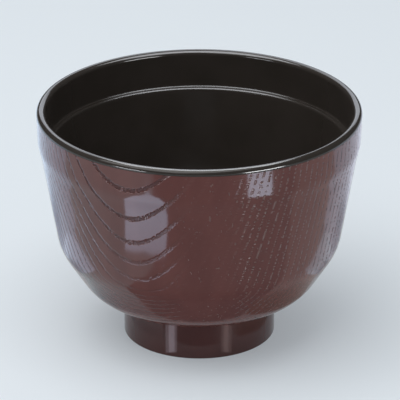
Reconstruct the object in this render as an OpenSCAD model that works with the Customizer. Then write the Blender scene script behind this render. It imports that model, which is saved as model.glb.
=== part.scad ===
// Lacquer soup bowl: a turned brown shell, a black lining with the rolled lip, and a turned foot ring.
// Millimetres, +Z up, origin at the centre of the foot's resting face. The front faces -Y.

/* [Bowl] */
// Outside diameter at the lip
bowl_d = 108; // [100:0.5:130]
// Height from the resting face to the top of the lip
bowl_h = 80.1; // [74:0.1:95]

/* [Lip and lid seat] */
// Width of the rolled lip, from its outside to the socket wall
lip_w = 3.2; // [2.8:0.1:4]
// Height of lip that shows above the shell's top edge
lip_h = 1.8; // [1.7:0.1:4]
// How far the lip stands proud of the collar under it
lip_proud = 0.05; // [0.05:0.05:0.5]
// Depth of the lid ledge below the top of the lip
ledge_depth = 12.9; // [9:0.1:15]
// Thickness of the lining behind the socket wall
socket_wall = 0.9; // [0.6:0.1:1.2]

/* [Collar] */
// Height of the near-upright collar under the lip
collar_h = 9.5; // [5:0.1:12]
// Radius lost over the collar's height
collar_taper = 0.3; // [0.1:0.05:0.6]
// Height of the flare from the collar down to the wall
flare_h = 4; // [3:0.1:9]
// Radius lost over the flare's height
flare_w = 1.05; // [0.6:0.05:1.4]

/* [Body] */
// Lean of the wall from the vertical, in degrees
wall_lean = 9.8; // [7:0.1:12]
// Height at which the wall and the lower wall would meet
belly_z = 32.5; // [29:0.1:36]
// Lean of the lower wall from the vertical, in degrees
lower_lean = 32.8; // [30:0.1:37]
// Radius of the belly, between wall and lower wall
belly_r = 17; // [12:1:26]
// Rise of the underside from the foot outwards, in degrees
underside_rise = 26; // [22:0.5:30]
// Radius between the lower wall and the underside
heel_r = 16; // [12:1:22]

/* [Walls] */
// Thickness of the shell
shell_wall = 2; // [1.8:0.1:2.6]
// Thickness of the lining
liner_wall = 1.8; // [1.6:0.1:2.6]
// Gap between pieces that nest in each other
fit_gap = 0.1; // [0.05:0.05:0.3]
// Radius of the cavity round its flat floor
hollow_r = 18; // [12:1:22]

/* [Foot] */
// Outside diameter of the foot ring
foot_d = 50.6; // [46:0.2:58]
// Height of the foot ring, from the resting face to the shell's underside
foot_h = 11.6; // [9:0.2:14]
// Wall of the foot ring
foot_wall = 3; // [2.4:0.1:5]
// Depth of the shell's boss that centres the foot ring
boss_h = 1.5; // [1:0.1:3]
// Bevel on the foot ring's two lower edges
foot_bevel = 0.5; // [0.2:0.1:0.9]

/* [Hidden] */
$fn = 240;

shell_brown = "#4b2a20";
foot_brown = "#42241b";
liner_black = "#191819";

// Steps of a drawn arc
arc_steps = 10;
// Share of a straight that the arc at one of its ends may take
arc_share = 0.48;

// Radii and heights that the pieces share
rim_r = bowl_d / 2;
socket_r = rim_r - lip_w;
shell_top = bowl_h - lip_h;
ledge_z = bowl_h - ledge_depth;
collar_z = shell_top - collar_h;
collar_top_r = rim_r - lip_proud;
collar_low_r = collar_top_r - collar_taper;
wall_top_z = collar_z - flare_h;
wall_top_r = collar_low_r - flare_w;
foot_r = foot_d / 2;
boss_r = foot_r - foot_wall - fit_gap;
recess_z = foot_h - boss_h;
socket_hollow_r = socket_r + socket_wall + fit_gap;
shoulder_z = ledge_z - liner_wall - fit_gap;

// A straight stretch of an outline is [outward normal, distance from the origin], in radius and height
function lean_line(r, z, lean) = [[cos(lean), -sin(lean)], r * cos(lean) - z * sin(lean)];
function inward(line, d) = [line[0], line[1] - d];
function cross2(a, b) = a[0] * b[1] - a[1] * b[0];
function meet(a, b) =
    [a[1] * b[0][1] - b[1] * a[0][1], b[1] * a[0][0] - a[1] * b[0][0]] / cross2(a[0], b[0]);
function line_r(line, z) = (line[1] - z * line[0][1]) / line[0][0];
function normal_angle(line) = atan2(line[0][1], line[0][0]);

// Largest arc whose two straights, from a corner, are no longer than the given length
function turn(a, b) = normal_angle(b) - normal_angle(a);
function arc_room(a, b, straight) = straight / tan(turn(a, b) / 2);

// Arc of radius r that touches line a and then line b, both on their inner side
function fillet(a, b, r) =
    let (c = meet(inward(a, r), inward(b, r)), t0 = normal_angle(a), t1 = normal_angle(b))
    [for (i = [0 : arc_steps]) let (t = t0 + (t1 - t0) * i / arc_steps) c + r * [cos(t), sin(t)]];

// Outline from start to end along legs of [line, radius of the arc before it]; straights limit their arcs
function rounded(start, legs, end) =
    let (
        last = len(legs) - 2,
        corners = [for (i = [0 : last]) meet(legs[i][0], legs[i + 1][0])],
        stops = concat([start], corners, [end]),
        straights = [for (i = [0 : last + 1]) norm(stops[i + 1] - stops[i])],
        rooms = [for (i = [0 : last]) arc_share * min(straights[i], straights[i + 1])])
    concat(
        [start],
        [for (i = [0 : last])
            let (a = legs[i][0], b = legs[i + 1][0])
            each fillet(a, b, min(legs[i + 1][1], arc_room(a, b, rooms[i])))],
        [end]);

// Lines of the body's outside
wall_line = lean_line(wall_top_r, wall_top_z, wall_lean);
lower_line = lean_line(line_r(wall_line, belly_z), belly_z, lower_lean);
underside_line = lean_line(foot_r, foot_h, 90 - underside_rise);

// The underside shows where the lower wall comes down outside the foot ring; else the lower wall stands on the ring
underside_shows = meet(underside_line, lower_line)[0] > foot_r;
body_start = [underside_shows ? foot_r : line_r(lower_line, foot_h), foot_h];
body_sides = [[lower_line, heel_r], [wall_line, belly_r]];
body_legs = underside_shows ? concat([[underside_line, 0]], body_sides) : body_sides;

// Outline of the hollow at a depth behind the outside, up to a height; the underside counts where it cuts the floor
function hollow_curve(d, top_z) =
    let (
        floor_line = [[0, -1], -foot_h - d],
        under = inward(underside_line, d),
        lower = inward(lower_line, d),
        wall = inward(wall_line, d),
        under_cuts = meet(floor_line, under)[0] < meet(under, lower)[0],
        sides = [[lower, (under_cuts ? heel_r : hollow_r) - d], [wall, belly_r - d]],
        legs = concat([[floor_line, 0]], under_cuts ? [[under, hollow_r - d]] : [], sides))
    rounded([0, foot_h + d], legs, [line_r(wall, top_z), top_z]);

function reversed(list) = [for (i = [len(list) - 1 : -1 : 0]) list[i]];

// Shell: the turned body with the boss that centres the foot ring, hollowed, with a step out for the lining's socket
module outer_shell()
    color(shell_brown)
        rotate_extrude()
            polygon(concat(
                [[0, recess_z], [boss_r, recess_z], [boss_r, foot_h]],
                rounded(body_start, body_legs, [wall_top_r, wall_top_z]),
                [[collar_low_r, collar_z],
                 [collar_top_r, shell_top],
                 [socket_hollow_r, shell_top],
                 [socket_hollow_r, shoulder_z]],
                reversed(hollow_curve(shell_wall, shoulder_z))));

// Lining: the outside nests in the shell, the lip rolls over the shell's top edge
liner_out = shell_wall + fit_gap;
liner_in = liner_out + liner_wall;
lip_r = lip_w / 2;

function lip_curve() =
    [for (i = [0 : arc_steps]) let (t = 180 * i / arc_steps)
        [rim_r - lip_r + lip_r * cos(t), bowl_h - lip_r + lip_r * sin(t)]];

module inner_liner()
    color(liner_black)
        rotate_extrude()
            polygon(concat(
                hollow_curve(liner_out, shoulder_z + fit_gap),
                [[socket_hollow_r - fit_gap, shoulder_z + fit_gap],
                 [socket_hollow_r - fit_gap, shell_top],
                 [rim_r, shell_top]],
                lip_curve(),
                [[socket_r, ledge_z]],
                reversed(hollow_curve(liner_in, ledge_z))));

module foot_ring()
    color(foot_brown)
        rotate_extrude()
            polygon([
                [foot_r - foot_wall + foot_bevel, 0],
                [foot_r - foot_bevel, 0],
                [foot_r, foot_bevel],
                [foot_r, foot_h],
                [foot_r - foot_wall, foot_h],
                [foot_r - foot_wall, foot_bevel]]);

outer_shell();
inner_liner();
foot_ring();
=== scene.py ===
# %% [markdown]
# # A lacquer soup bowl
# The bowl is three turned pieces that nest: a brown shell with incised wood grain, a black lining that
# rolls over the rim, and a plain foot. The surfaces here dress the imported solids: each one is a grid of
# points worked out with numpy, so the soft corners and the tiny roundings are real shape, not paint.

# %% Load the frame
import math
import bpy
import numpy as np
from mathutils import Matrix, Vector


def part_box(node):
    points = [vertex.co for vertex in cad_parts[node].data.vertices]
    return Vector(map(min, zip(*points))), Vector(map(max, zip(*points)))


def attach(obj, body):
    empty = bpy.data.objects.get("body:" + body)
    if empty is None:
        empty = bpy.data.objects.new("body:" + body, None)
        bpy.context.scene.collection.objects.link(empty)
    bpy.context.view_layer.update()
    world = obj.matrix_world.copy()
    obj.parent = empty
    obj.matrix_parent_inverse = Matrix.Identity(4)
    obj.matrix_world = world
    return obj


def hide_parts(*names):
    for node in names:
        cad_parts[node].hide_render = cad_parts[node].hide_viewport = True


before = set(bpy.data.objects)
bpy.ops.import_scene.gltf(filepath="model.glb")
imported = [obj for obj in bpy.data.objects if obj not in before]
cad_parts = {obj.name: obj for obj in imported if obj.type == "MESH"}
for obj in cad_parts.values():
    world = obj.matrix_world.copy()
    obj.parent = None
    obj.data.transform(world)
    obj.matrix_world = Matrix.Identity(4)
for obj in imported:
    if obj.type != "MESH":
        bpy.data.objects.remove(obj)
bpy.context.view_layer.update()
MM = 0.001

# %% [markdown]
# ## Sizes
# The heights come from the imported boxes, so they follow the solids. The rest are the maker's own drawing
# sizes: the rim and the foot, the collar, the lean of each stretch of wall, the arcs between them, the
# thicknesses.

# %% Sizes, in millimetres
shell_low, shell_high = (np.array(corner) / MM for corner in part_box("outer_shell"))
liner_high = np.array(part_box("inner_liner")[1]) / MM
foot_high = np.array(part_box("foot_ring")[1]) / MM

BOWL_H = liner_high[2]
RIM_R = 54.0
SHELL_TOP = shell_high[2]
RECESS_Z = shell_low[2]
FOOT_R = 25.3
FOOT_H = foot_high[2]
FOOT_WALL = 3.0
FIT_GAP = 0.1
LIP_W = 3.2
LIP_PROUD = 0.05
LEDGE_DEPTH = 12.9
SOCKET_WALL = 0.9
COLLAR_H = 9.5
COLLAR_TAPER = 0.3
FLARE_H = 4.0
FLARE_W = 1.05
WALL_LEAN, LOWER_LEAN, UNDERSIDE_RISE = np.radians((9.8, 32.8, 26.0))
BELLY_Z = 32.5
BELLY_R = 17.0
HEEL_R = 16.0
HOLLOW_R = 18.0
SHELL_WALL = 2.0
LINER_WALL = 1.8

COLLAR_TOP_R = RIM_R - LIP_PROUD
COLLAR_LOW_R = COLLAR_TOP_R - COLLAR_TAPER
WALL_TOP_R = COLLAR_LOW_R - FLARE_W
COLLAR_Z = SHELL_TOP - COLLAR_H
WALL_TOP_Z = COLLAR_Z - FLARE_H
LEDGE_Z = BOWL_H - LEDGE_DEPTH
SOCKET_R = RIM_R - LIP_W
SOCKET_HOLLOW_R = SOCKET_R + SOCKET_WALL + FIT_GAP
SHOULDER_Z = LEDGE_Z - LINER_WALL - FIT_GAP
print(f"rim {2 * RIM_R:.0f} mm, height {BOWL_H:.1f} mm, lid ledge at {LEDGE_Z:.1f} mm")

# %% [markdown]
# ## Profiles from straight lines and arcs
# A turner draws a bowl as straight leans joined by arcs. A line is kept as its outward normal and its
# distance from the origin, which makes two things easy: moving it inwards by a wall thickness, and
# finding the arc that touches two of them.

# %% Line and arc helpers
def lean_line(r, z, lean):
    """The line through (r, z) that leans outwards by an angle: its normal is (cos lean, -sin lean)."""
    normal = np.array([math.cos(lean), -math.sin(lean)])
    return normal, float(normal @ (r, z))


def inward(line, depth):
    """The same line moved towards the axis: its distance from the origin is less by the depth."""
    return line[0], line[1] - depth


def meet(a, b):
    """Where two lines cross: the point whose product with each normal is that line's distance."""
    return np.linalg.solve(np.array([a[0], b[0]]), np.array([a[1], b[1]]))


def line_r(line, z):
    """Radius of a line at a height."""
    return (line[1] - z * line[0][1]) / line[0][0]


def turn_arc(centre, radius, start, stop, steps):
    """Points at centre plus radius times (cosine, sine) of angles from start to stop."""
    t = np.linspace(start, stop, steps)
    return np.stack([centre[0] + radius * np.cos(t), centre[1] + radius * np.sin(t)], 1)


def fillet(a, b, radius, steps=14):
    """The arc that touches two lines on their inner side: its centre is where both, moved in, cross."""
    centre = meet(inward(a, radius), inward(b, radius))
    angles = [math.atan2(line[0][1], line[0][0]) for line in (a, b)]
    return turn_arc(centre, radius, angles[0], angles[1], steps)


def even_points(points, spacing):
    """The same outline with its points a set distance apart, by length along it."""
    step = np.hypot(*np.diff(points, axis=0).T)
    length = np.concatenate([[0.0], np.cumsum(step)])
    wanted = np.linspace(0.0, length[-1], max(2, round(length[-1] / spacing) + 1))
    return np.stack([np.interp(wanted, length, points[:, i]) for i in (0, 1)], 1)


# %% [markdown]
# ## The bowl's own lines
# Three lines draw the outside: the short underside, the leaning lower wall and the steep wall. The hollow
# of the shell and both sides of the lining are the same lines, moved in.

# %% Lines and hollow
wall_line = lean_line(WALL_TOP_R, WALL_TOP_Z, WALL_LEAN)
lower_line = lean_line(line_r(wall_line, BELLY_Z), BELLY_Z, LOWER_LEAN)
underside_line = lean_line(FOOT_R, FOOT_H, math.pi / 2 - UNDERSIDE_RISE)


def hollow_curve(depth, top_z):
    """The hollow at a depth behind the outside: a flat floor and three leans, with an arc at each corner."""
    lines = [(np.array([0.0, -1.0]), -FOOT_H - depth)]
    lines += [inward(line, depth) for line in (underside_line, lower_line, wall_line)]
    radii = np.array([HOLLOW_R, HEEL_R, BELLY_R]) - depth
    arcs = [fillet(a, b, radius) for a, b, radius in zip(lines, lines[1:], radii)]
    return np.concatenate([[[0.0, FOOT_H + depth]], *arcs, [[line_r(lines[-1], top_z), top_z]]])


print(f"the wall turns under at a radius of {line_r(wall_line, BELLY_Z):.1f} mm")

# %% [markdown]
# ## Turning a grid into a mesh
# A turned surface is a grid: one way round the axis, the other way along the profile. All its faces come
# from one array of point numbers.

# %% Objects and grids
SHARP_DEGREES = 35.0


def new_object(name, points, faces):
    """An object with a new mesh, from points in millimetres and faces as lists of point numbers."""
    mesh = bpy.data.meshes.new(name)
    mesh.from_pydata((np.array(points) * MM).tolist(), [], faces)
    thing = bpy.data.objects.new(name, mesh)
    bpy.context.scene.collection.objects.link(thing)
    return thing


def smooth_shaded(piece):
    """The same piece with smooth shading, which stops at edges sharper than a set angle."""
    mesh = piece.data
    mesh.polygons.foreach_set("use_smooth", np.ones(len(mesh.polygons), bool))
    mesh.set_sharp_from_angle(angle=math.radians(SHARP_DEGREES))
    mesh.update()
    print(f"{piece.name}: {len(mesh.vertices)} points, {len(mesh.polygons)} faces")
    return piece


def revolve(profile, around):
    """Rings of a turned profile: each (radius, height) goes round the axis, anticlockwise from above."""
    angle = np.linspace(0.0, 2 * math.pi, around, endpoint=False)
    r, z = profile[:, 0, None], profile[:, 1, None]
    return np.stack([r * np.cos(angle), r * np.sin(angle), z + 0 * angle], -1)


def band_faces(bands, rings, around):
    """Quads between neighbouring rings. Point j of ring i has the number i times around, plus j. Both counts
    wrap, so as many bands as rings close the grid on itself."""
    i, j = np.meshgrid(np.arange(bands), np.arange(around), indexing="ij")
    next_i, next_j = (i + 1) % rings, (j + 1) % around
    corners = [i * around + j, i * around + next_j, next_i * around + next_j, next_i * around + j]
    return np.stack(corners, -1).reshape(-1, 4)


# %% [markdown]
# ## Two kinds of turned piece
# The shell and the lining have a profile that starts and ends on the axis, so each end shrinks to a point
# and a fan closes it. The foot has a closed profile away from the axis, so its grid wraps both ways.

# %% Turned pieces
def turned_mesh(name, profile, around):
    """A solid from a profile that starts and ends on the axis: bands between the rings, a fan at each end."""
    rings = revolve(profile, around)
    points = np.concatenate([rings[:1, 0], rings[1:-1].reshape(-1, 3), rings[-1:, 0]])
    bands = len(profile) - 3
    quads = band_faces(bands, bands + 1, around) + 1
    first = np.arange(around)
    second = (first + 1) % around
    last_ring, last_point = bands * around + 1, len(points) - 1
    low_fan = np.stack([np.zeros(around, int), second + 1, first + 1], 1)
    high_fan = np.stack([np.full(around, last_point), last_ring + first, last_ring + second], 1)
    faces = low_fan.tolist() + quads.tolist() + high_fan.tolist()
    return smooth_shaded(new_object(name, points, faces))


def ring_mesh(name, profile, around):
    """A ring from a closed profile: the grid wraps both ways, so there are no ends to close."""
    points = revolve(profile, around).reshape(-1, 3)
    faces = band_faces(len(profile), len(profile), around).tolist()
    return smooth_shaded(new_object(name, points, faces))


def seat(piece, node):
    """The piece stands for a solid of the same shape: the solid is hidden, and the piece rides on the bowl's
    one body.
    """
    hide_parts(node)
    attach(piece, "root")


# %% [markdown]
# ## The brown shell
# The outside is one turned curve: a short underside, a leaning lower wall, the belly, a steep wall, and a
# small flare up to the collar. A Screw modifier on a drawn curve would turn it too, but a grid keeps the
# points evenly spaced, and a running average along them takes the last hardness out of the corners, as
# coats of lacquer do.

# %% Shell
AROUND_SHELL = 360
SHELL_SPACING = 0.5
SOFT_REACH = 5


def softened(points, reach):
    """Each point becomes a weighted mean of its neighbours, with weights that fall off as a raised cosine.
    Points mirrored about the two ends keep those ends where they are."""
    weights = np.hanning(2 * reach + 3)[1:-1]
    padded = np.pad(points, ((reach, reach), (0, 0)), mode="reflect", reflect_type="odd")
    return np.stack([np.convolve(padded[:, i], weights / weights.sum(), "valid") for i in (0, 1)], 1)


body_profile = np.concatenate([
    [[FOOT_R, FOOT_H]],
    fillet(underside_line, lower_line, HEEL_R),
    fillet(lower_line, wall_line, BELLY_R),
    [[WALL_TOP_R, WALL_TOP_Z], [COLLAR_LOW_R, COLLAR_Z], [COLLAR_TOP_R, SHELL_TOP]]])
body_profile = softened(even_points(body_profile, SHELL_SPACING), SOFT_REACH)
boss_r = FOOT_R - FOOT_WALL - FIT_GAP
under_profile = np.array([[0.0, RECESS_Z], [boss_r, RECESS_Z], [boss_r, FOOT_H]])
socket_profile = np.array([[SOCKET_HOLLOW_R, SHELL_TOP], [SOCKET_HOLLOW_R, SHOULDER_Z]])
shell_profile = np.concatenate([
    under_profile, body_profile, socket_profile, hollow_curve(SHELL_WALL, SHOULDER_Z)[::-1]])
outer_shell = turned_mesh("turned_shell", shell_profile, AROUND_SHELL)
seat(outer_shell, "outer_shell")

# %% [markdown]
# ## The black lining
# The lining is one turned skin. Its lip is a full half round, and the ledge for a lid has a rounded edge
# and a small hollow corner: those two tiny arcs catch the light as the double line inside the bowl. Drawn
# in the profile, they keep their exact radius, which a Bevel modifier would only come near.

# %% Lining
LEDGE_EDGE_R = 0.9
LEDGE_ROOT_R = 0.6
LIP_EDGE = 0.1
LIP_STEPS, EDGE_STEPS, ROOT_STEPS = 33, 8, 6
BELOW_EDGE = 1.0
LINER_SPACING = 1.5
AROUND_LINER = 360

liner_out = SHELL_WALL + FIT_GAP
liner_in = liner_out + LINER_WALL
lip_r = LIP_W / 2
lip_centre = (RIM_R - lip_r, BOWL_H - lip_r)
inner_wall = inward(wall_line, liner_in)
edge_centre_z = LEDGE_Z - LEDGE_EDGE_R
edge_centre = (line_r(inner_wall, edge_centre_z) + LEDGE_EDGE_R / math.cos(WALL_LEAN), edge_centre_z)
ledge_edge = turn_arc(edge_centre, LEDGE_EDGE_R, math.pi / 2, math.pi - WALL_LEAN, EDGE_STEPS)
root_centre = (SOCKET_R - LEDGE_ROOT_R, LEDGE_Z + LEDGE_ROOT_R)
ledge_root = turn_arc(root_centre, LEDGE_ROOT_R, 0.0, -math.pi / 2, ROOT_STEPS)

outside_profile = np.concatenate([
    hollow_curve(liner_out, SHOULDER_Z + FIT_GAP),
    [[SOCKET_HOLLOW_R - FIT_GAP, SHOULDER_Z + FIT_GAP],
     [SOCKET_HOLLOW_R - FIT_GAP, SHELL_TOP],
     [RIM_R - LIP_EDGE, SHELL_TOP],
     [RIM_R, SHELL_TOP + LIP_EDGE]]])
lip_profile = turn_arc(lip_centre, lip_r, 0.0, math.pi, LIP_STEPS)
inner_curve = hollow_curve(liner_in, ledge_edge[-1, 1] - BELOW_EDGE)
wall_profile = even_points(inner_curve[::-1], LINER_SPACING)
liner_profile = np.concatenate([outside_profile, lip_profile, ledge_root, ledge_edge, wall_profile])
inner_liner = turned_mesh("black_lining", liner_profile, AROUND_LINER)
seat(inner_liner, "inner_liner")

# %% [markdown]
# ## The foot
# The foot is a turned ring with softened lower edges. It stands flat, so only a narrow band touches the
# table. Its profile is closed, so the same grid serves, wrapped both ways.

# %% Foot ring
FOOT_BEVEL = 0.5
BEVEL_STEPS = 7
AROUND_FOOT = 240

foot_in_r = FOOT_R - FOOT_WALL
outer_centre = (FOOT_R - FOOT_BEVEL, FOOT_BEVEL)
inner_centre = (foot_in_r + FOOT_BEVEL, FOOT_BEVEL)
foot_profile = np.concatenate([
    turn_arc(inner_centre, FOOT_BEVEL, -math.pi, -math.pi / 2, BEVEL_STEPS),
    turn_arc(outer_centre, FOOT_BEVEL, -math.pi / 2, 0.0, BEVEL_STEPS),
    [[FOOT_R, FOOT_H / 2], [FOOT_R, FOOT_H], [foot_in_r, FOOT_H], [foot_in_r, FOOT_H / 2]]])
foot_ring = ring_mesh("turned_foot", foot_profile, AROUND_FOOT)
seat(foot_ring, "foot_ring")

# %% [markdown]
# ## Shader maths as sums
# A finish is a small sum over the surface: how far a point is from the heart of the tree, how close that
# is to a growth ring, how deep the pores are there. Wrapping a socket in a class with the usual operators
# lets the sum be written as one line of Python, and each operator adds its node.

# %% Sockets that add and multiply
class Wire:
    """One output socket. Operators on it add Math nodes to its tree."""

    def __init__(self, finish, socket):
        self.finish, self.socket = finish, socket

    def math(self, operation, *others):
        """This value and the others through one Math node."""
        return self.finish.node("ShaderNodeMath", (self, *others), operation=operation)

    def __add__(self, other):
        return self.math("ADD", other)

    __radd__ = __add__

    def __mul__(self, other):
        return self.math("MULTIPLY", other)

    __rmul__ = __mul__

    def __sub__(self, other):
        return self.math("SUBTRACT", other)

    def __rsub__(self, other):
        return (self * -1.0) + other

    def __truediv__(self, other):
        return self.math("DIVIDE", other)

    def __pow__(self, other):
        return self.math("POWER", other)

    def between(self, low, high):
        """Goes smoothly from 0 at low to 1 at high."""
        sockets = {"Value": self, "From Min": low, "From Max": high}
        return self.finish.node("ShaderNodeMapRange", sockets, interpolation_type="SMOOTHSTEP")


# %% [markdown]
# ## A finish
# Every material here starts as one main shader, and nodes feed its sockets. One method adds any node, and
# the others are short names for the few nodes that come back again.

# %% Finish
class Finish:
    """A material with one main shader, and the one method that adds any other node."""

    def __init__(self, name, **constants):
        self.material = bpy.data.materials.new(name)
        self.material.use_nodes = True
        self.tree = self.material.node_tree
        self.shader = self.tree.nodes["Principled BSDF"]
        self.feed(**constants)

    def node(self, kind, sockets=(), out=0, **settings):
        """Adds a node, makes its settings, then sets or links its sockets, by name or in order."""
        node = self.tree.nodes.new(kind)
        for key, value in settings.items():
            setattr(node, key, value)
        pairs = sockets.items() if isinstance(sockets, dict) else enumerate(sockets)
        for key, value in pairs:
            self.join(value, node.inputs[key])
        return Wire(self, node.outputs[out])

    def join(self, value, socket):
        """Links a wire to a socket, or sets the socket to a plain value."""
        if isinstance(value, Wire):
            self.tree.links.new(value.socket, socket)
        else:
            socket.default_value = value

    def feed(self, **values):
        """Feeds the shader's own sockets, with underscores for the spaces in their names."""
        for key, value in values.items():
            self.join(value, self.shader.inputs[key.replace("_", " ")])

    def cover(self, other, mask):
        """Lets another shader take over from the main one where the mask is 1."""
        mixed = self.node("ShaderNodeMixShader", (mask, Wire(self, self.shader.outputs[0]), other))
        self.tree.links.new(mixed.socket, self.tree.nodes["Material Output"].inputs["Surface"])

    def place(self):
        """Object coordinates, in millimetres."""
        coords = self.node("ShaderNodeTexCoord", out="Object")
        scale = {"Vector": coords, "Scale": (1 / MM, 1 / MM, 1 / MM)}
        return self.node("ShaderNodeMapping", scale)

    def unit_noise(self, vector, detail):
        """Soft random value from 0 to 1, with lumps about one unit of the vector across."""
        sockets = {"Vector": vector, "Scale": 1.0, "Detail": detail}
        return self.node("ShaderNodeTexNoise", sockets, out="Fac")

    def noise(self, place, size, detail=2.0, tall=1.0):
        """Soft random value from 0 to 1, with lumps of a size in millimetres, and tall times that high."""
        per_mm = (1 / size, 1 / size, 1 / (size * tall))
        scaled = self.node("ShaderNodeVectorMath", (place, per_mm), operation="MULTIPLY")
        return self.unit_noise(scaled, detail)

    def blend_colour(self, mask, a, b):
        """Colour a where the mask is 0 and b where it is 1."""
        sockets = {"Factor": mask, 6: a, 7: b}
        return self.node("ShaderNodeMix", sockets, out=2, data_type="RGBA")


def wear(piece, finish):
    """Gives the piece its finish."""
    piece.data.materials.clear()
    piece.data.materials.append(finish.material)
    print(f"{piece.name} wears {finish.material.name}: {len(finish.tree.nodes)} nodes")


# %% [markdown]
# ## Growth rings
# The wood grew as rings round an upright heart that lay far behind the bowl, to its right. The distance
# from that line gives the rings: on the front left they cut the steep wall as nested arches, and towards
# the sides they run straight down. Two waves keep them from being true circles. Over the collar they run
# on as if the wall kept its lean.

# %% Distance from the heart
LACQUER_IOR = 1.5
HEART = (50.0, 108.0)
HEART_FAR = math.hypot(*HEART)
SLOW_SIZE, SLOW_SWAY = 30.0, 1.2
QUICK_SIZE, QUICK_SWAY = 1.2, 0.22
TINY = 0.01

shell_finish = Finish("brown_grained_lacquer", IOR=LACQUER_IOR)
place = shell_finish.place()
x_mm = shell_finish.node("ShaderNodeSeparateXYZ", (place,))
y_mm, z_mm = (Wire(shell_finish, x_mm.socket.node.outputs[axis]) for axis in "YZ")
slow_wave = shell_finish.noise(place, SLOW_SIZE, detail=1.0, tall=2.0) - 0.5
quick_wave = shell_finish.noise(place, QUICK_SIZE) - 0.5
above_wall = (z_mm - WALL_TOP_Z).math("MAXIMUM", 0.0)
wall_on_up = (above_wall * math.tan(WALL_LEAN) + WALL_TOP_R) / (x_mm ** 2.0 + y_mm ** 2.0) ** 0.5
run_on = 1.0 + (wall_on_up - 1.0) * z_mm.between(WALL_TOP_Z - TINY, WALL_TOP_Z + TINY)
across = x_mm * run_on - HEART[0]
along = y_mm * run_on - HEART[1]
true_circle = (across ** 2.0 + along ** 2.0) ** 0.5
from_heart = true_circle + slow_wave * SLOW_SWAY + quick_wave * QUICK_SWAY

# %% [markdown]
# ## Counting the rings
# The rings are narrowest at one distance and widen both ways from it. A Wave texture makes rings of one
# width only, so they are counted here: each point gets the number of its ring, and how far it lies from
# that ring's line.

# %% Counting the rings
NARROW_AT = 48.0
NARROW_RING = 1.1
WIDEN_OUT, WIDEN_IN, WIDEST = 0.15, 0.06, 12.0
RING_START = 0.13


def rings_over(distance, widen):
    """Rings over a distance along which their width grows by a share of it. One over the width adds up to
    the logarithm of one plus share times distance over narrowest width, divided by the share."""
    return (1.0 + distance * (widen / NARROW_RING)).math("LOGARITHM", math.e) * (1.0 / widen)


outside = (from_heart - (HEART_FAR + NARROW_AT)).math("MAXIMUM", 0.0)
inside = (HEART_FAR + NARROW_AT - from_heart).math("MAXIMUM", 0.0)
ring = rings_over(inside, WIDEN_IN) - rings_over(outside, WIDEN_OUT) + inside * (1.0 / WIDEST) - RING_START
ring_width = NARROW_RING + outside * WIDEN_OUT + inside * WIDEN_IN
ring_number = (ring + 0.5).math("FLOOR")
from_line = (ring - ring_number).math("ABSOLUTE") * ring_width
print(f"rings are {NARROW_RING} mm wide at the narrowest, {NARROW_AT:.0f} mm past the bowl's axis")

# %% [markdown]
# ## Pores
# Each ring starts with open pores: long rough-edged lines on the left, rows of short pits on the right
# with loose flecks between them. The polish leaves little of them in the middle of the front, less on the
# lower body, and less where the rings are narrow. They are cut a fraction of a millimetre deep, too fine
# for the mesh, so they are bump and dullness in the finish.

# %% Pores
RIGHT_SPAN = (-16.0, 6.0)
SIDE_SPAN = (32.0, 48.0)
LOW_SPAN = (30.0, 45.0)
SMOOTH_FROM, SMOOTH_TO = (-14.0, -2.0), (8.0, 20.0)
NARROW_SPAN = (1.1, 1.7)
ROW_APART, PITS_PER_MM = 7.3, 1.4
PIT_EDGE, DASH_EDGE, FLECK_EDGE, LINE_EDGE = (0.46, 0.60), (0.30, 0.50), (0.76, 0.80), (0.5, 1.3)
DASH_SIZE, FLECK_SIZE = 0.8, 0.75
LINE_HALF_W, PIT_EXTRA_W, SIDE_EXTRA_W = 0.13, 0.09, 0.13
UNPOLISHED, LOW_LOSS, NARROW_LEAST, FLECK_DEPTH = 1.12, 0.6, 0.4, 0.8
CUT_DEPTH, CUT_STRENGTH = 0.25, 0.8

right_side = x_mm.between(*RIGHT_SPAN)
far_sides = x_mm.math("ABSOLUTE").between(*SIDE_SPAN)
row = shell_finish.node("ShaderNodeCombineXYZ", (ring_number * ROW_APART, z_mm * PITS_PER_MM, 0.0))
pits = shell_finish.unit_noise(row, 0.0).between(*PIT_EDGE)
dashes = shell_finish.noise(place, DASH_SIZE, detail=1.0, tall=2.0).between(*DASH_EDGE)
flecks = shell_finish.noise(place, FLECK_SIZE, detail=0.0, tall=1.6).between(*FLECK_EDGE) * right_side
cut_length = dashes + (pits - dashes) * right_side
cut_width = LINE_HALF_W + right_side * PIT_EXTRA_W + x_mm.between(*SIDE_SPAN) * SIDE_EXTRA_W
line = 1.0 - (from_line / cut_width).between(*LINE_EDGE)
low_down = (1.0 - z_mm.between(*LOW_SPAN)) * (1.0 - far_sides)
polish_leaves = UNPOLISHED - x_mm.between(*SMOOTH_FROM) + x_mm.between(*SMOOTH_TO)
wide_share = NARROW_LEAST + ring_width.between(*NARROW_SPAN) * (1.0 - NARROW_LEAST)
depth = wide_share * (polish_leaves * (1.0 - low_down * LOW_LOSS))
pores = (line * cut_length * depth).math("MAXIMUM", flecks * FLECK_DEPTH).math("MINIMUM", 1.0)
bump = shell_finish.node(
    "ShaderNodeBump", {"Strength": CUT_STRENGTH, "Distance": CUT_DEPTH * MM, "Height": 1.0 - pores})
print(f"pores: lines about {2 * LINE_HALF_W} mm wide, cut up to {CUT_DEPTH * CUT_STRENGTH:.1f} mm deep")
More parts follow.
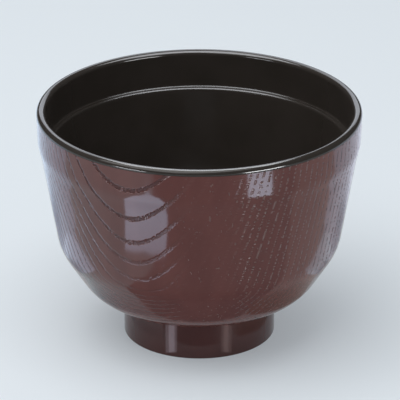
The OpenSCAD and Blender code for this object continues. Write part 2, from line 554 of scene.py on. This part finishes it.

# %% [markdown]
# ## The brown coat
# Between the pores the lacquer is glossy, and its brown drifts a little. In them it is dull and dark on the
# left and at the far right. On the right of the front they are painted paler: a painted glint for the light
# their edges catch.

# %% Brown coat
BROWN_DARK, BROWN_LIGHT = (0.106, 0.0285, 0.0235, 1.0), (0.124, 0.036, 0.0295, 1.0)
# The second pore tone is paler than the first: a painted glint, for the light that the edges of pits catch.
PORE_DARK, PORE_GLINT_PAINT = (0.055, 0.020, 0.018, 1.0), (0.20, 0.125, 0.11, 1.0)
BROWN_SIZE = 9.0
DRIFT_EDGE = (0.3, 0.7)
GLINT_PAINT_END = (34.0, 44.0)
GLOSS, PORE_ROUGHER, PORE_DULL, PORE_SHINE, PORE_COVER = 0.09, 0.12, 0.5, 0.1, 0.7

brown_drift = shell_finish.noise(place, BROWN_SIZE, detail=3.0, tall=4.0).between(*DRIFT_EDGE)
brown = shell_finish.blend_colour(brown_drift, BROWN_DARK, BROWN_LIGHT)
shell_finish.feed(Base_Color=brown, Roughness=GLOSS + pores * PORE_ROUGHER, Normal=bump)
# On the right of the front, but not at the far right, the pores take the paler tone: painted glints.
painted_glint_zone = right_side * (1.0 - x_mm.between(*GLINT_PAINT_END))
pore_tone_and_painted_glint = shell_finish.blend_colour(painted_glint_zone, PORE_DARK, PORE_GLINT_PAINT)
dull_pore = shell_finish.node("ShaderNodeBsdfPrincipled", {
    "Base Color": pore_tone_and_painted_glint, "Roughness": PORE_DULL, "Specular IOR Level": PORE_SHINE, "Normal": bump})
shell_finish.cover(dull_pore, pores * PORE_COVER)
wear(outer_shell, shell_finish)

# %% [markdown]
# ## Smooth lacquers
# The lining and the foot have no grain, only the faint unevenness that any sprayed and polished coat has:
# a very shallow ripple and a little change of gloss.

# %% Plain lacquers
COAT_DRIFT_SIZE, RIPPLE_SIZE, GLOSS_SIZE = 14.0, 3.0, 6.0
RIPPLE_DEPTH, RIPPLE_STRENGTH, GLOSS_DRIFT = 0.08, 0.12, 0.05


def smooth_lacquer(name, dark, light, roughness):
    """A glossy coat whose colour drifts between two close tones, with a ripple of at most a hundredth of a
    millimetre and a roughness that rises a little from its least value."""
    finish = Finish(name, IOR=LACQUER_IOR)
    place = finish.place()
    drift = finish.noise(place, COAT_DRIFT_SIZE).between(*DRIFT_EDGE)
    ripple = finish.noise(place, RIPPLE_SIZE)
    bump = finish.node(
        "ShaderNodeBump", {"Strength": RIPPLE_STRENGTH, "Distance": RIPPLE_DEPTH * MM, "Height": ripple})
    finish.feed(
        Base_Color=finish.blend_colour(drift, dark, light),
        Roughness=roughness + finish.noise(place, GLOSS_SIZE) * GLOSS_DRIFT,
        Normal=bump)
    return finish


wear(inner_liner, smooth_lacquer(
    "black_lacquer", dark=(0.031, 0.026, 0.022, 1.0), light=(0.036, 0.030, 0.026, 1.0), roughness=0.10))
wear(foot_ring, smooth_lacquer(
    "brown_lacquer", dark=(0.078, 0.023, 0.0195, 1.0), light=(0.088, 0.027, 0.023, 1.0), roughness=0.12))

# %% [markdown]
# ## Table
# The bowl stands on a pale sheet. A part of the sheet's colour is plain glow, so that the shadow on it
# stays light.

# %% Table
SHEET_HALF = 3000.0
SHEET_COLOUR = (0.80, 0.86, 0.91, 1.0)
GLOW_SHARE = 0.25


def flat_sheet(name, half):
    """A square sheet at floor level: the four corners at plus and minus half its side."""
    corners = [(-half, -half, 0.0), (half, -half, 0.0), (half, half, 0.0), (-half, half, 0.0)]
    return new_object(name, corners, [(0, 1, 2, 3)])


def pale_sheet(colour, glow_share):
    """A matt sheet. For the camera and for reflections, a share of its own plain colour is mixed in."""
    finish = Finish("pale_sheet", Base_Color=colour, Roughness=0.8, Specular_IOR_Level=0.0)
    camera_rays = finish.node("ShaderNodeLightPath", out="Is Camera Ray")
    glossy_rays = Wire(finish, camera_rays.socket.node.outputs["Is Glossy Ray"])
    glow = finish.node("ShaderNodeEmission", {"Color": colour, "Strength": 1.0})
    finish.cover(glow, camera_rays.math("MAXIMUM", glossy_rays) * glow_share)
    return finish


table = flat_sheet("table_sheet", SHEET_HALF)
wear(table, pale_sheet(SHEET_COLOUR, GLOW_SHARE))

# %% [markdown]
# ## Overhead light
# One large square lamp hangs over the bowl, a little to the left and to the front, and lights the sheet
# and the matt part of the colours.

# %% Overhead light
BOWL_MIDDLE = (0.0, 0.0, 0.04)


def area_lamp(name, width, height, watts, colour):
    """A flat lamp with its width and height in metres, still at the origin."""
    lamp = bpy.data.lights.new(name, "AREA")
    lamp.shape = "RECTANGLE"
    lamp.size, lamp.size_y = width, height
    lamp.energy, lamp.color = watts, colour
    holder = bpy.data.objects.new(name, lamp)
    bpy.context.scene.collection.objects.link(holder)
    print(f"{name}: {watts} W")
    return holder


def soft_box(name, place, side, watts, colour):
    """A square lamp at a place, turned to face the bowl."""
    holder = area_lamp(name, side, side, watts, colour)
    holder.location = place
    away = np.array(place) - np.array(BOWL_MIDDLE)
    heading = math.atan2(away[1], away[0])
    holder.rotation_euler = (0.0, math.acos(away[2] / np.linalg.norm(away)), heading)


soft_box("overhead_box", place=(-0.22, -0.20, 0.95), side=1.0, watts=6.5, colour=(1.0, 0.985, 0.97))

# %% [markdown]
# ## Panels for the gloss
# Polished lacquer shows what lies round it. A ray from the camera that mirrors in the turned wall lands
# on the table or on a card, so each bright or dim patch on the bowl has its place there, and a panel
# glows in that place. Only polished surfaces see the panels. They lie just over the table, the brighter
# ones higher. A picture of a room would do the same, but panels can be placed and changed one by one.

# %% Panel helpers
BLACK = (0.0, 0.0, 0.0, 1.0)
TABLE_MIDDLE = (0.0, 0.0, 0.0)


def light_panel(name, corners, colour, near_colour=None, centre=TABLE_MIDDLE, span=(0.0, 1.0)):
    """A glowing panel, by its corners in millimetres, that only polished surfaces see. With a near colour,
    the glow goes smoothly from that to the panel's colour over a span of distances from a centre."""
    panel = new_object(name, corners, [tuple(range(len(corners)))])
    panel.visible_camera = panel.visible_diffuse = panel.visible_shadow = False
    glow = Finish(name + "_glow", Base_Color=BLACK, Emission_Color=(*colour, 1.0), Emission_Strength=1.0)
    if near_colour:
        sockets = (glow.place(), centre)
        offset = glow.node("ShaderNodeVectorMath", sockets, out="Value", operation="DISTANCE")
        fade = glow.blend_colour(offset.between(*span), (*near_colour, 1.0), (*colour, 1.0))
        glow.feed(Emission_Color=fade)
    wear(panel, glow)


def level(height, *corners):
    """Corners in plan, all at one height."""
    return [(x, y, height) for x, y in corners]


def upright(low, high, start, stop):
    """Corners of a standing card over a line in plan, from a low to a high edge."""
    return [(*start, low), (*stop, low), (*stop, high), (*start, high)]


# %% [markdown]
# ## Panels on the table
# Neighbouring panels share a seam, written once and run through in both directions, so no gap shows
# between them. In front lies the shade that keeps the middle dark, beside it the two fills, and behind
# those the bright strips that light the edges of the bowl. The window and its small partner on the right
# lie over them.

# %% Seams between panels
LEFT_SEAM = [(-20, -34), (-30, -33), (-48, -42), (-55, -62), (-45, -83), (-96, -178)]
RIGHT_SEAM = [(22, -34), (36, -35), (65, -46), (92, -51), (220, -110)]
LEFT_OUTER_SEAM = [(-110, 7), (-124, 15), (-190, 24), (-260, 20)]
RIGHT_OUTER_SEAM = [(110, 10), (122, 16), (180, 30), (300, 20)]
LEFT_LOW_SEAM = [(-98, 12), (-96, 30), (-84, 40), (-62, 30)]
RIGHT_LOW_SEAM = [(102, 12), (98, 24), (84, 30), (64, 26)]
SHADE_UP, LEFT_FILL_UP, SIDE_UP, WINDOW_UP = 0.2, 0.3, 0.4, 0.6

# %% Shade and fills
light_panel(
    "front_shade",
    level(SHADE_UP, *LEFT_SEAM, (-220, -420), (220, -420), *RIGHT_SEAM[::-1]),
    colour=(0.44, 0.47, 0.50), near_colour=(0.18, 0.20, 0.22), span=(40.0, 95.0))
light_panel(
    "right_fill",
    level(
        SHADE_UP, *RIGHT_SEAM, *RIGHT_OUTER_SEAM[::-1],
        (97, 4), (80, -20), (60, 0), (54, 14), (40, 10), (30, -20)),
    colour=(0.76, 0.70, 0.70), near_colour=(0.20, 0.19, 0.18), span=(40.0, 66.0))
light_panel(
    "left_fill",
    level(
        LEFT_FILL_UP, (-30, -20), (-40, 10), (-56, 14), (-62, 0), (-80, -23), (-95, 1),
        *LEFT_OUTER_SEAM, (-420, -60), (-300, -300), *LEFT_SEAM[::-1]),
    colour=(0.72, 0.90, 0.96), near_colour=(0.30, 0.37, 0.41), span=(36.0, 60.0))

# %% Bright strips at the sides
light_panel(
    "left_low_panel",
    level(
        SIDE_UP, (-80, -23), (-89, -12), (-95, 1), *LEFT_LOW_SEAM, (-56, 14), (-62, 0), (-70, -12)),
    colour=(1.48, 1.78, 2.2), near_colour=(0.42, 0.54, 0.66), centre=(-54.0, 18.0, 0.0), span=(8.0, 34.0))
light_panel(
    "left_side_panel",
    level(
        SIDE_UP, *LEFT_OUTER_SEAM, (-420, 60), (-420, 300), (-120, 420), (-70, 80), *LEFT_LOW_SEAM[::-1]),
    colour=(1.1, 1.34, 1.64), near_colour=(0.48, 0.6, 0.77), centre=(-72.0, 68.0, 0.0), span=(8.0, 42.0))
light_panel(
    "right_low_panel",
    level(
        SIDE_UP, (80, -20), (90, -6), (97, 4), *RIGHT_LOW_SEAM, (54, 14), (60, 0), (68, -14)),
    colour=(1.2, 1.36, 1.56), near_colour=(0.36, 0.42, 0.5), centre=(54.0, 22.0, 0.0), span=(6.0, 34.0))
light_panel(
    "right_side_panel",
    level(
        SIDE_UP, *RIGHT_OUTER_SEAM, (420, 40), (420, 300), (120, 420), (72, 80), *RIGHT_LOW_SEAM[::-1]),
    colour=(1.06, 1.14, 1.34), near_colour=(0.45, 0.5, 0.6), centre=(74.0, 60.0, 0.0), span=(8.0, 45.0))

# %% Window and its partner
light_panel(
    "window_panel",
    level(
        WINDOW_UP, (-75, -66), (-87, -79), (-105, -121), (-103, -164), (-71, -156), (-39, -110), (-36, -93),
        (-58, -82)),
    colour=(2.9, 3.5, 4.4), near_colour=(2.1, 2.5, 3.2), span=(92.0, 130.0))
light_panel(
    "right_panel",
    level(WINDOW_UP, (82, -141), (114, -197), (160, -153), (114, -110)),
    colour=(4.0, 4.6, 5.6))

# %% [markdown]
# ## Panels for the lip and the lining
# The lip and the black inside mirror what is above and behind: a ceiling, a back wall and a small panel
# over the bowl that lights the ledge's double line. Two standing cards far in front make the glints on
# the lip.

# %% Ceiling, back wall and cards
CEILING_UP, LEDGE_PANEL_UP = 1000, 180

light_panel(
    "top_panel",
    level(CEILING_UP, (-600, 600), (170, 600), (170, 1700), (-600, 1700)),
    colour=(2.2, 2.3, 2.5))
light_panel("back_panel", upright(520, CEILING_UP, (-700, 1700), (700, 1700)), colour=(1.9, 2.0, 2.2))
light_panel(
    "ledge_panel",
    level(LEDGE_PANEL_UP, (-60, -20), (60, -20), (60, 62), (-60, 62)),
    colour=(7.6, 7.8, 8.2))
light_panel("left_glint_card", upright(8, 230, (-839, -545), (-588, -809)), colour=(9.0, 9.2, 9.7))
light_panel("right_glint_card", upright(8, 200, (500, -866), (839, -545)), colour=(26.0, 26.3, 27.0))

# %% [markdown]
# ## Streaks on the foot
# The foot shows two upright streaks with a bright core. Each is a wide and a narrow lamp close to the
# foot, which only the foot sees. The narrow one stands a little further out, because lamps in one plane
# hide each other.

# %% Foot streaks
STREAK_H = 10.6
LEFT_TURN, RIGHT_TURN = -43.1, 41.3
LEFT_TINT, RIGHT_TINT = (0.92, 0.86, 1.0), (1.0, 0.79, 0.77)


def foot_streak(name, place, heading, width, watts, colour):
    """A narrow lamp standing just in front of the foot, nearly as tall as it, that only the foot sees."""
    holder = area_lamp(name, width * MM, STREAK_H * MM, watts, colour)
    holder.location = np.array([*place, STREAK_H / 2]) * MM
    holder.rotation_euler = (math.pi / 2, 0.0, math.radians(heading))
    holder.visible_camera = holder.visible_diffuse = False
    group = bpy.data.collections.new(name + "_receivers")
    group.objects.link(foot_ring)
    holder.light_linking.receiver_collection = group


foot_streak("left_streak_wide", (-11.0, -25.3), LEFT_TURN, width=4.6, watts=0.00016, colour=LEFT_TINT)
foot_streak("left_streak_narrow", (-11.17, -25.68), LEFT_TURN, width=2.4, watts=0.00012, colour=LEFT_TINT)
foot_streak("right_streak_wide", (10.75, -25.55), RIGHT_TURN, width=4.2, watts=0.00007, colour=RIGHT_TINT)
foot_streak("right_streak_narrow", (10.88, -25.9), RIGHT_TURN, width=2.0, watts=0.00004, colour=RIGHT_TINT)

# %% [markdown]
# ## The room
# An even room fills the shadows. Polished surfaces see it much dimmer, so that the panels alone draw the
# gloss.

# %% Room
def room_light(colour, open_level, polished_level):
    """An even room: polished surfaces see it at their own level, chosen by what kind of ray arrives."""
    world = bpy.data.worlds.new("studio_room")
    world.use_nodes = True
    nodes, links = world.node_tree.nodes, world.node_tree.links
    rays = nodes.new("ShaderNodeLightPath")
    mix = nodes.new("ShaderNodeMixShader")
    links.new(rays.outputs["Is Glossy Ray"], mix.inputs[0])
    for strength, socket in ((open_level, mix.inputs[1]), (polished_level, mix.inputs[2])):
        room = nodes.new("ShaderNodeBackground")
        room.inputs["Color"].default_value = (*colour, 1.0)
        room.inputs["Strength"].default_value = strength
        links.new(room.outputs[0], socket)
    links.new(mix.outputs[0], nodes["World Output"].inputs["Surface"])
    bpy.context.scene.world = world
    print(f"room: level {open_level}, or {polished_level} for polished surfaces")


room_light((0.94, 0.97, 1.0), open_level=0.5, polished_level=0.06)

# %% [markdown]
# ## Camera
# The camera is far away with a long lens, about 24 degrees above level, which keeps the rim and the foot
# nearly the same ellipse. Its lens is worked out from a focal length in pixels of the square picture.

# %% Camera
CAMERA_BACK, CAMERA_UP, AIM_UP = 1.3, 0.61372, 0.04674
FRAME_PIXELS, FOCAL_PIXELS, AXIS_PIXEL = 400, 4245.3, 199.31
SENSOR_MM = 36.0

look_down = math.atan2(CAMERA_UP - AIM_UP, CAMERA_BACK)
camera_data = bpy.data.cameras.new("photo_camera")
camera_data.sensor_width = SENSOR_MM
camera_data.lens = FOCAL_PIXELS / FRAME_PIXELS * SENSOR_MM
camera_data.shift_x = (FRAME_PIXELS / 2 - AXIS_PIXEL) / FRAME_PIXELS
camera = bpy.data.objects.new("photo_camera", camera_data)
camera.location = (0.0, -CAMERA_BACK, CAMERA_UP)
camera.rotation_euler = (math.pi / 2 - look_down, 0.0, 0.0)
bpy.context.scene.collection.objects.link(camera)
bpy.context.scene.camera = camera
bpy.context.scene.view_settings.view_transform = "Standard"
print(f"camera: {camera_data.lens:.0f} mm lens, {math.degrees(look_down):.1f} degrees down")
